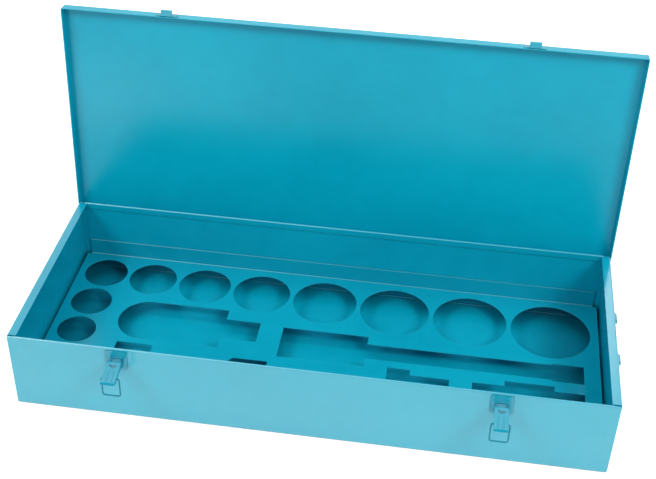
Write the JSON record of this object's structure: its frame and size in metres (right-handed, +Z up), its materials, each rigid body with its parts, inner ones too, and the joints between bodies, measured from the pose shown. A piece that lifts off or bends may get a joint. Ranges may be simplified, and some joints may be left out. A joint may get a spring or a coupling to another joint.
{
  "type": "tool case",
  "caption": "Long painted steel case for large sockets and bars, with a hinged tray lid, draw latches with wire loops, end handles and a pocket plate inside.",
  "frame": {"origin": "middle of the underside, where the case rests", "axes": "+X along the length to the right as seen from the latches, +Y to the hinges, +Z up"},
  "size_m": [0.7868, 0.3872, 0.4241],
  "materials": {
    "case_paint": "satin powder coat",
    "lid_paint": "satin powder coat",
    "plate_paint": "satin powder coat",
    "hardware_paint": "satin powder coat"
  },
  "bodies": {
    "case": {"tub_shell": "case_paint", "insert_plate": "plate_paint", "end_panel_left": "case_paint", "end_panel_right": "case_paint", "handle_clip_front_left": "hardware_paint", "handle_clip_rear_left": "hardware_paint", "latch_base_left": "hardware_paint", "latch_bracket_left": "hardware_paint", "latch_pivot_pin_left": "hardware_paint", "handle_clip_front_right": "hardware_paint", "handle_clip_rear_right": "hardware_paint", "latch_base_right": "hardware_paint", "latch_bracket_right": "hardware_paint", "latch_pivot_pin_right": "hardware_paint", "hinge_wall_leaf_left": "hardware_paint", "hinge_pin_left": "hardware_paint", "hinge_wall_leaf_middle": "hardware_paint", "hinge_pin_middle": "hardware_paint", "hinge_wall_leaf_right": "hardware_paint", "hinge_pin_right": "hardware_paint"},
    "lid": {"lid_shell": "lid_paint", "hinge_lid_leaf_left": "hardware_paint", "hinge_lid_leaf_middle": "hardware_paint", "hinge_lid_leaf_right": "hardware_paint", "keeper_left": "hardware_paint", "keeper_right": "hardware_paint"},
    "lever_left": {"latch_lever_left": "hardware_paint"},
    "sleeve_left": {"loop_sleeve_left": "hardware_paint"},
    "loop_left": {"wire_loop_left": "hardware_paint"},
    "handle_left": {"handle_left": "hardware_paint"},
    "lever_right": {"latch_lever_right": "hardware_paint"},
    "sleeve_right": {"loop_sleeve_right": "hardware_paint"},
    "loop_right": {"wire_loop_right": "hardware_paint"},
    "handle_right": {"handle_right": "hardware_paint"}
  },
  "joints": [
    {"name": "lid_hinge", "type": "hinge", "parent": "case", "child": "lid", "pos_m": [0, 0.1557, 0.1054], "axis": [1, 0, 0], "range_deg": [0, 94]},
    {"name": "lever_left_pivot", "type": "hinge", "parent": "case", "child": "lever_left", "pos_m": [-0.243, -0.1613, 0.0975], "axis": [1, 0, 0], "range_deg": [-22, 78]},
    {"name": "sleeve_left_turn", "type": "hinge", "parent": "lever_left", "child": "sleeve_left", "pos_m": [-0.243, -0.18233, 0.09303], "axis": [1, 0, 0], "range_deg": [-78, 22]},
    {"name": "loop_left_swing", "type": "hinge", "parent": "sleeve_left", "child": "loop_left", "pos_m": [-0.243, -0.18233, 0.09303], "axis": [-1, 0, 0], "range_deg": [0, 180]},
    {"name": "handle_left_swing", "type": "hinge", "parent": "case", "child": "handle_left", "pos_m": [-0.3893, 0, 0.094], "axis": [0, 1, 0], "range_deg": [0, 165]},
    {"name": "lever_right_pivot", "type": "hinge", "parent": "case", "child": "lever_right", "pos_m": [0.243, -0.1613, 0.0975], "axis": [1, 0, 0], "range_deg": [-22, 78]},
    {"name": "sleeve_right_turn", "type": "hinge", "parent": "lever_right", "child": "sleeve_right", "pos_m": [0.243, -0.18233, 0.09303], "axis": [1, 0, 0], "range_deg": [-78, 22]},
    {"name": "loop_right_swing", "type": "hinge", "parent": "sleeve_right", "child": "loop_right", "pos_m": [0.243, -0.18233, 0.09303], "axis": [-1, 0, 0], "range_deg": [0, 180]},
    {"name": "handle_right_swing", "type": "hinge", "parent": "case", "child": "handle_right", "pos_m": [0.3893, 0, 0.094], "axis": [0, -1, 0], "range_deg": [0, 165]}
  ],
  "couplings": [
    {"joint": "sleeve_left_turn", "follows": "lever_left_pivot", "ratio": -1},
    {"joint": "sleeve_right_turn", "follows": "lever_right_pivot", "ratio": -1}
  ]
}
